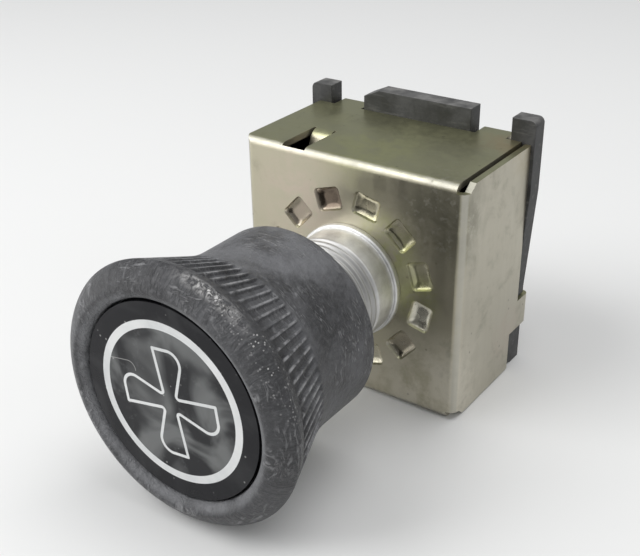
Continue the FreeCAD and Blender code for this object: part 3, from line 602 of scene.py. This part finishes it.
# folded housing
steelLook = {
    "front": (0.43, 0.402, 0.305),
    "top": (0.38, 0.378, 0.228),
    "side": (0.47, 0.443, 0.362),
    "dark": (0.15, 0.145, 0.105),
    "blush": (0.52, 0.435, 0.37),
    "olive": (0.42, 0.43, 0.205),
    "soilAndShade": (0.13, 0.10, 0.076),
    "dimpleGlint": (0.82, 0.79, 0.67),
    "bendHighlight": (0.50, 0.485, 0.425),
    "clean": (0.66, 0.625, 0.535),
    "brown": (0.40, 0.34, 0.20),
    "tarnish": [((12.0, 0.9, 11.0), 8.0, 0.65), ((9.0, 10.0, 15.6), 7.0, 0.35),
                ((-4.3, 15.0, 15.6), 5.0, 0.45)],
    "warm": [((-7.0, 0.9, 9.0), 9.0, 0.6), ((15.5, 14.0, -9.0), 5.0, 0.35)],
    "stained": [((13.0, 16.0, 15.6), 5.5, 0.9)],
    "pale": [((13.0, 0.9, -12.5), 11.0, 0.75), ((4.0, 0.9, -15.0), 8.0, 0.5)],
    "soiled": [(135.0, 0.45), (105.0, 0.95), (75.0, 0.2), (45.0, 0.2), (-45.0, 0.4)],
    "polished": -15.0,
    "green": [((5.5, 0.9, 6.0), 5.5, 0.95), ((9.5, 0.9, 0.0), 4.5, 0.8), ((0.0, 6.0, 15.6), 9.0, 0.5)],
    "dimpleR": 10.4, "dimpleReach": 2.3, "dimpleFrom": 1.0, "dimpleTo": 1.5, "dimpleSize": 3.0,
    "insideFrom": 1.75, "insideFull": 1.65,
    "bendFrom": 4.0, "bendFull": 3.2, "bendR": 13.0, "bendFullR": 13.6,
    "mottleScale": 230.0, "brushScale": (1100.0, 1100.0, 45.0), "fleckScale": 1000.0, "speckScale": 700.0,
    "metallic": 0.92, "bumpHeight": 0.00008,
}


def dimplePlace(bearing):
    turn = math.radians(bearing)
    radius = steelLook["dimpleR"]
    return (radius * math.cos(turn), steelLook["dimpleTo"], radius * math.sin(turn))


def platedSteel():
    material, tree, shader, place = newMaterial("platedSteel")
    look = steelLook
    shader.inputs["Metallic"].default_value = look["metallic"]
    x, y, z = splitVector(tree, place)
    radius = lengthOf(tree, x, z)
    mottle = noiseAt(tree, place, look["mottleScale"], detail=7.0, roughness=0.68, distortion=0.3)
    brushed = noiseAt(tree, stretched(tree, place, look["brushScale"]), 1.0, detail=4.0)
    # painted light and shade: the front, side and top of the one plated sheet get their own colours, as
    # each face is lit differently
    tone = mixColour(tree, smoothRange(tree, facing(tree, "X"), 0.5, 0.8), look["front"], look["side"])
    tone = mixColour(tree, smoothRange(tree, facing(tree, "Z"), 0.5, 0.8), tone, look["top"])
    # stains on the plating; the dark tarnish spot on the front's upper right is partly real tarnish and
    # partly a painted reflection of the dark knob
    stainsAndPaintedReflection = {"green": "olive", "warm": "blush", "stained": "brown", "pale": "clean", "tarnish": "dark"}
    for spots, colour in stainsAndPaintedReflection.items():
        for centre, size, strength in look[spots]:
            spot = spotAt(tree, place, centre, size)
            amount = product(tree, spot, smoothRange(tree, mottle, 0.34, 0.58), strength)
            tone = mixColour(tree, amount, tone, look[colour])
    tone = mixColour(tree, smoothRange(tree, mottle, 0.52, 0.8, 0.0, 0.4), tone, look["dark"])
    # pale flecks where the plating is stained
    centre, size = look["tarnish"][0][:2]
    flecks = noiseAt(tree, place, look["fleckScale"], detail=5.0, roughness=0.65)
    flecks = smoothRange(tree, flecks, 0.53, 0.66, 0.0, 0.85)
    tone = mixColour(tree, product(tree, flecks, spotAt(tree, place, centre, size)), tone, look["side"])
    # dirt and painted shade in the dimples, darker in some than in others
    dimple = product(tree, bandAround(tree, radius, look["dimpleR"] * mm, look["dimpleReach"] * mm, 0.8),
                     smoothRange(tree, y, look["dimpleFrom"] * mm, look["dimpleTo"] * mm),
                     smoothRange(tree, y, look["insideFrom"] * mm, look["insideFull"] * mm))
    for bearing, strength in look["soiled"]:
        spot = spotAt(tree, place, dimplePlace(bearing), look["dimpleSize"], 0.7)
        tone = mixColour(tree, product(tree, dimple, spot, strength), tone, look["soilAndShade"])
    # painted reflection: one dimple is made bright, as if mirroring a light
    spot = spotAt(tree, place, dimplePlace(look["polished"]), look["dimpleSize"], 0.7)
    tone = mixColour(tree, product(tree, dimple, spot), tone, look["dimpleGlint"])
    # painted highlight along the front bends, with some rubbing wear
    atFront = smoothRange(tree, y, look["bendFrom"] * mm, look["bendFull"] * mm)
    outside = product(tree, atFront, smoothRange(tree, radius, look["bendR"] * mm, look["bendFullR"] * mm))
    rubbedAndLit = product(tree, onBends(tree), outside, smoothRange(tree, mottle, 0.34, 0.55, 0.25, 0.8))
    tone = mixColour(tree, rubbedAndLit, tone, look["bendHighlight"])
    specks = product(tree, smoothRange(tree, cellsAt(tree, place, look["speckScale"]), 0.16, 0.08),
                     smoothRange(tree, noiseAt(tree, place, 160.0, detail=2.0), 0.5, 0.62))
    tone = mixColour(tree, product(tree, specks, 0.5), tone, look["dark"])
    tree.links.new(tone, shader.inputs["Base Color"])
    rough = mathNode(tree, "ADD", smoothRange(tree, brushed, 0.3, 0.7, 0.28, 0.34),
                     smoothRange(tree, mottle, 0.3, 0.8, 0.0, 0.14))
    rough = mathNode(tree, "ADD", rough, product(tree, rubbedAndLit, 0.16))
    rough = mathNode(tree, "SUBTRACT", rough, product(tree, dimple, 0.12))
    tree.links.new(rough, shader.inputs["Roughness"])
    height = mathNode(tree, "ADD", product(tree, brushed, 0.25), mottle)
    bumpOn(tree, shader, height, 0.2, look["bumpHeight"])
    return material


# moulded board
boardLook = {
    "deep": (0.016, 0.016, 0.016), "worn": (0.074, 0.074, 0.073), "dust": (0.23, 0.225, 0.215),
    "broadScale": 240.0, "dustScale": 520.0, "grainScale": 1500.0, "streakScale": (260.0, 1200.0, 1600.0),
}


def boardResin():
    material, tree, shader, place = newMaterial("boardResin")
    look = boardLook
    broad = noiseAt(tree, place, look["broadScale"], detail=6.0, roughness=0.65)
    tone = mixColour(tree, smoothRange(tree, broad, 0.35, 0.7), look["deep"], look["worn"])
    up = smoothRange(tree, facing(tree, "Z"), 0.1, 0.9)
    settled = noiseAt(tree, place, look["dustScale"], detail=5.0)
    dust = product(tree, up, smoothRange(tree, settled, 0.35, 0.7, 0.1, 0.6))
    streaks = noiseAt(tree, stretched(tree, place, look["streakScale"]), 1.0, detail=5.0, roughness=0.65)
    tone = mixColour(tree, smoothRange(tree, streaks, 0.52, 0.72, 0.0, 0.25), tone, look["dust"])
    tone = mixColour(tree, dust, tone, look["dust"])
    tree.links.new(tone, shader.inputs["Base Color"])
    tree.links.new(smoothRange(tree, broad, 0.3, 0.7, 0.5, 0.72), shader.inputs["Roughness"])
    bumpOn(tree, shader, noiseAt(tree, place, look["grainScale"], detail=4.0), 0.3, 0.00008)
    return material


# small metals and mouldings
def plainFinish(name, dark, light, rough, metallic=1.0, grain=600.0):
    material, tree, shader, place = newMaterial(name)
    shader.inputs["Metallic"].default_value = metallic
    tarnish = noiseAt(tree, place, grain, detail=6.0, roughness=0.65)
    tree.links.new(rampOf(tree, tarnish, [(0.32, dark), (0.66, light)]), shader.inputs["Base Color"])
    tree.links.new(smoothRange(tree, tarnish, 0.3, 0.7, rough + 0.12, rough), shader.inputs["Roughness"])
    bumpOn(tree, shader, tarnish, 0.15, 0.00005)
    return material


discLook = {
    "deep": (0.009, 0.009, 0.011), "haze": (0.165, 0.169, 0.168), "dust": (0.40, 0.40, 0.39),
    "shadedMarginR": 9.5, "clearEase": 1.0, "blotchScale": 150.0, "smearScale": 620.0, "speckScale": 900.0,
    "hairX": -5.6, "hairZ": 2.2, "hairR": 1.1, "hairWidth": 0.055, "hairRun": 2.4, "hairLean": 0.16,
}


def glossDisc():
    material, tree, shader, place = newMaterial("glossDisc")
    look = discLook
    blotch = noiseAt(tree, place, look["blotchScale"], detail=3.0, roughness=0.45, distortion=0.8)
    smear = noiseAt(tree, place, look["smearScale"], detail=6.0, roughness=0.7)
    parts = splitVector(tree, place)
    x, z = parts["X"], parts["Z"]
    # the painted reflection and the haze fade out towards the rim, so the margin stays darker as painted
    # shade of the recess wall
    hazyR = look["shadedMarginR"] - look["clearEase"]
    awayFromShadedMargin = smoothRange(tree, lengthOf(tree, x, z), look["shadedMarginR"] * mm, hazyR * mm, 0.1, 1.0)
    # blotches of painted reflection on the gloss face
    paintedReflection = product(tree, awayFromShadedMargin, smoothRange(tree, blotch, 0.42, 0.62, 0.06, 0.85))
    tone = mixColour(tree, paintedReflection, look["deep"], look["haze"])
    film = product(tree, awayFromShadedMargin, smoothRange(tree, smear, 0.55, 0.8, 0.0, 0.5))
    tone = mixColour(tree, film, tone, look["haze"])
    specks = smoothRange(tree, cellsAt(tree, place, look["speckScale"]), 0.13, 0.06)
    where = smoothRange(tree, noiseAt(tree, place, 330.0, detail=2.0), 0.52, 0.62)
    tone = mixColour(tree, product(tree, specks, where, 0.6), tone, look["dust"])
    # one hair of lint, a straight run and a quarter of a circle
    across = mathNode(tree, "SUBTRACT", x, look["hairX"] * mm)
    above = mathNode(tree, "SUBTRACT", z, look["hairZ"] * mm)
    above = mathNode(tree, "SUBTRACT", above, product(tree, across, look["hairLean"]))
    width = look["hairWidth"] * mm
    away = lengthOf(tree, across, above)
    bent = product(tree, bandAround(tree, away, look["hairR"] * mm, width, 0.4),
                   mathNode(tree, "GREATER_THAN", across, 0.0), mathNode(tree, "GREATER_THAN", above, 0.0))
    run = product(tree, bandAround(tree, above, look["hairR"] * mm, width, 0.4),
                  mathNode(tree, "LESS_THAN", across, 0.0),
                  mathNode(tree, "GREATER_THAN", across, -look["hairRun"] * mm))
    hair = product(tree, mathNode(tree, "MAXIMUM", bent, run), 0.7)
    tone = mixColour(tree, hair, tone, look["dust"])
    tree.links.new(tone, shader.inputs["Base Color"])
    tree.links.new(smoothRange(tree, smear, 0.3, 0.75, 0.1, 0.24), shader.inputs["Roughness"])
    shader.inputs["Specular IOR Level"].default_value = 0.15
    return material


fillLook = {"grey": (0.56, 0.57, 0.57), "white": (0.68, 0.685, 0.68), "hazeScale": 260.0, "rough": 0.4}


def whiteFill():
    material, tree, shader, place = newMaterial("whiteFill")
    haze = noiseAt(tree, place, fillLook["hazeScale"], detail=5.0, roughness=0.6)
    tone = rampOf(tree, haze, [(0.3, fillLook["grey"]), (0.62, fillLook["white"])])
    tree.links.new(tone, shader.inputs["Base Color"])
    shader.inputs["Roughness"].default_value = fillLook["rough"]
    return material


# stage
stageLook = {"floor": (0.80, 0.80, 0.79), "floorRough": 0.6, "floorSize": 3.0,
             "sky": 0.36, "skyTint": (0.95, 0.97, 1.0)}


def buildStage():
    lowest = cadBox[0].z
    size = stageLook["floorSize"]
    mesh = bpy.data.meshes.new("floor")
    corners = [(-size, -size, lowest), (size, -size, lowest), (size, size, lowest), (-size, size, lowest)]
    mesh.from_pydata(corners, [], [(0, 1, 2, 3)])
    floor = linkPiece("floor", mesh)
    material, _, shader, _ = newMaterial("paleFloor")
    shader.inputs["Base Color"].default_value = (*stageLook["floor"], 1.0)
    shader.inputs["Roughness"].default_value = stageLook["floorRough"]
    mesh.materials.append(material)
    world = bpy.data.worlds.new("studio")
    bpy.context.scene.world = world
    world.use_nodes = True
    background = world.node_tree.nodes["Background"]
    background.inputs["Color"].default_value = (*stageLook["skyTint"], 1.0)
    background.inputs["Strength"].default_value = stageLook["sky"]


lampAim = Vector((0.0, -0.006, 0.0))
lamps = {
    "keySoft": {"at": (-0.26, -0.26, 0.36), "size": 0.36, "power": 1.75},
    "leftLow": {"at": (-0.36, -0.34, 0.10), "size": 0.26, "power": 0.6},
    "topSoft": {"at": (0.10, 0.10, 0.48), "size": 0.40, "power": 1.15},
    "rightSoft": {"at": (0.42, 0.05, 0.22), "size": 0.26, "power": 0.22},
}


def buildLamps():
    for name, look in lamps.items():
        lamp = bpy.data.lights.new(name, "AREA")
        lamp.energy = look["power"]
        lamp.size = look["size"]
        holder = bpy.data.objects.new(name, lamp)
        holder.location = look["at"]
        aim = lampAim - holder.location
        holder.rotation_euler = aim.to_track_quat("-Z", "Y").to_euler()
        bpy.context.scene.collection.objects.link(holder)


# camera at the photograph's place
cameraLook = {"at": (63.77, -95.33, 60.26), "azimuth": 35.03, "elevation": 29.31, "roll": -0.77,
              "lens": 59.04, "sensor": 36.0, "shiftX": -0.0084, "shiftY": 0.051, "clip": 5.0}


def buildCamera():
    look = cameraLook
    camera = bpy.data.cameras.new("photoCamera")
    camera.lens = look["lens"]
    camera.sensor_width = look["sensor"]
    camera.shift_x = look["shiftX"]
    camera.shift_y = look["shiftY"]
    camera.clip_start = look["clip"] * mm
    holder = bpy.data.objects.new("photoCamera", camera)
    turn = Matrix.Rotation(math.radians(look["azimuth"]), 4, "Z")
    tilt = Matrix.Rotation(math.radians(90 - look["elevation"]), 4, "X")
    roll = Matrix.Rotation(math.radians(look["roll"]), 4, "Z")
    holder.matrix_world = Matrix.Translation(Vector(look["at"]) * mm) @ turn @ tilt @ roll
    bpy.context.scene.collection.objects.link(holder)
    bpy.context.scene.camera = holder


buildCamera()
buildStage()
buildLamps()
print("stage, lamps and camera placed")

buildGrip()
buildBushing()
steel = platedSteel()
resin = boardResin()
brass = plainFinish("agedBrass", (0.30, 0.21, 0.085), (0.62, 0.47, 0.21), rough=0.3)
brightSteel = plainFinish("brightSteel", (0.34, 0.335, 0.32), (0.58, 0.57, 0.55), rough=0.28)
springSteel = plainFinish("springSteel", (0.16, 0.16, 0.165), (0.36, 0.36, 0.37), rough=0.34)
rotorResin = plainFinish("rotorResin", (0.03, 0.026, 0.022), (0.075, 0.065, 0.055), rough=0.5,
                         metallic=0.0, grain=300.0)

dressedCopy("housing", "housingMesh", steel, bevel=0.14)
dressedCopy("terminal_board", "boardMesh", resin, bevel=0.2)
dressedCopy("symbol_disc", "discMesh", glossDisc(), bevel=0.0)
for node in ("terminal_feed", "terminal_low", "terminal_medium", "terminal_high", "contact_rivets"):
    dressedCopy(node, node + "Mesh", brass, bevel=0.1)
dressedCopy("shaft", "shaftMesh", brightSteel, bevel=0.1)
dressedCopy("retaining_clip", "clipMesh", springSteel, bevel=0.08)
print("metal and board pieces dressed")

white = whiteFill()
plainNodes = {
    "symbol_ring": white, "symbol_fan": white, "knob_core": rotorResin, "rotor": rotorResin,
    "thrust_washer": brass, "contact_spider": brass, "detent_spring": springSteel,
    "contact_spring": springSteel, "knob_clip": springSteel,
}
for node, material in plainNodes.items():
    mesh = frame["nodes"][node].data
    mesh.materials.clear()
    mesh.materials.append(material)
print("inner pieces coloured")

bpy.context.scene.view_settings.view_transform = "Standard"
